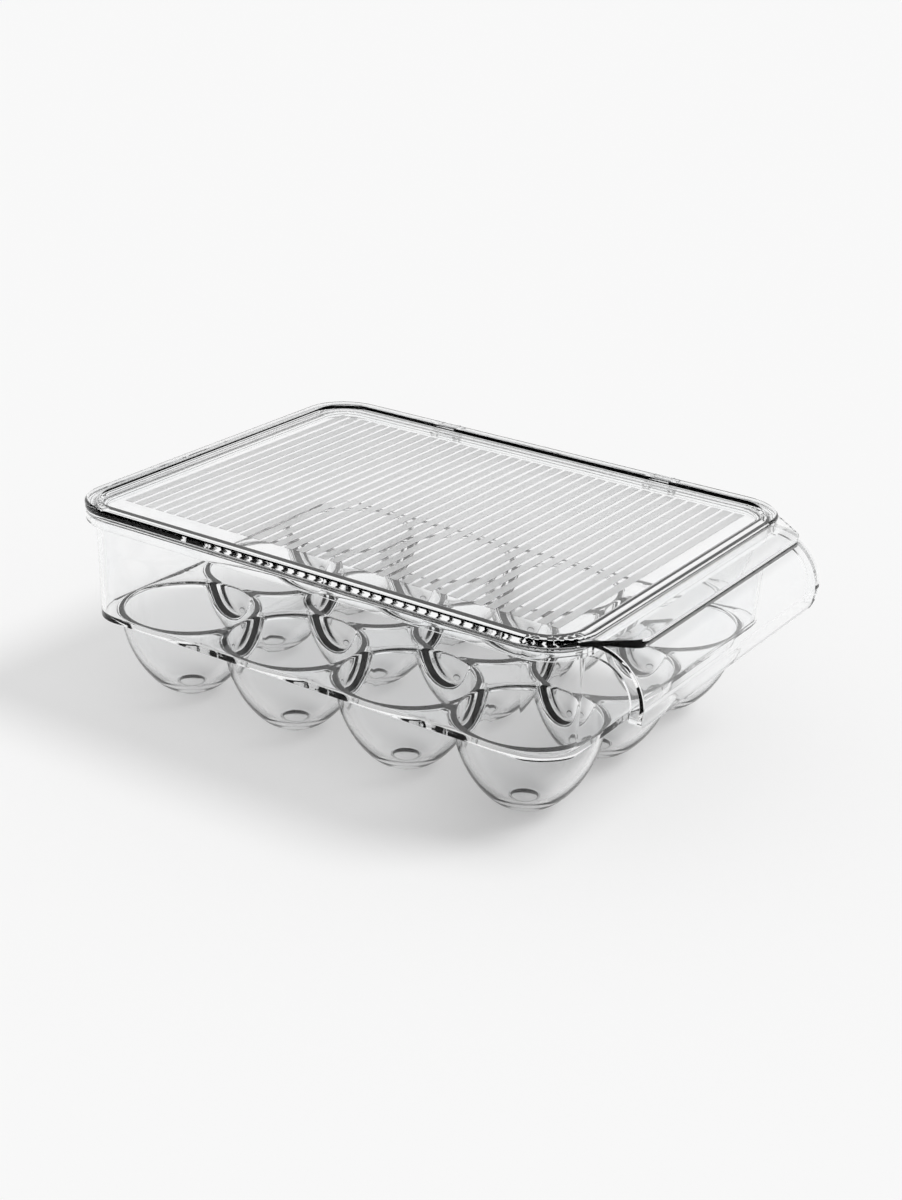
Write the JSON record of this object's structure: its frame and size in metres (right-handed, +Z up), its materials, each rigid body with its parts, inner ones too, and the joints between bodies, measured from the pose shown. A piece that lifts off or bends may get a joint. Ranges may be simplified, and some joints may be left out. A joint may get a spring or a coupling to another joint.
{
  "type": "egg keeper with flip lid",
  "caption": "Clear rectangular egg tray with round egg cups under its deck, a bowed pull handle on one end and a ribbed lid hinged along one long side.",
  "frame": {"origin": "Middle of the bounding box on the plane that the cup feet stand on, lid closed.", "axes": "+Z up; Y along the long way with the pull handle and the lid tab at -Y; X across, with the lid hinge on the +X side and the free edge at -X."},
  "size_m": [0.1708, 0.2326, 0.0783],
  "materials": {
    "clear_tray": "clear, polished",
    "clear_lid": "clear, polished, ribbed panel"
  },
  "bodies": {
    "tray": {"egg_cup_11": "clear_tray", "egg_cup_12": "clear_tray", "egg_cup_13": "clear_tray", "egg_cup_21": "clear_tray", "egg_cup_22": "clear_tray", "egg_cup_23": "clear_tray", "egg_cup_31": "clear_tray", "egg_cup_32": "clear_tray", "egg_cup_33": "clear_tray", "egg_cup_41": "clear_tray", "egg_cup_42": "clear_tray", "egg_cup_43": "clear_tray", "wall_handle_end": "clear_tray", "wall_back_end": "clear_tray", "wall_open_side": "clear_tray", "wall_hinge_side": "clear_tray", "corner_handle_open": "clear_tray", "corner_handle_hinge": "clear_tray", "corner_back_open": "clear_tray", "corner_back_hinge": "clear_tray", "handle_bow": "clear_tray", "handle_wing_open": "clear_tray", "handle_wing_hinge": "clear_tray", "hinge_ears_front": "clear_tray", "hinge_ears_back": "clear_tray"},
    "lid": {"lid_rim": "clear_lid", "lid_panel": "clear_lid", "lid_lip": "clear_lid", "lid_tab": "clear_lid", "lid_clip_front": "clear_lid", "lid_clip_back": "clear_lid"}
  },
  "joints": [
    {"name": "lid_hinge", "type": "hinge", "parent": "tray", "child": "lid", "pos_m": [0.08281, 0, 0.0753], "axis": [0, 1, 0], "range_deg": [0, 110]}
  ]
}
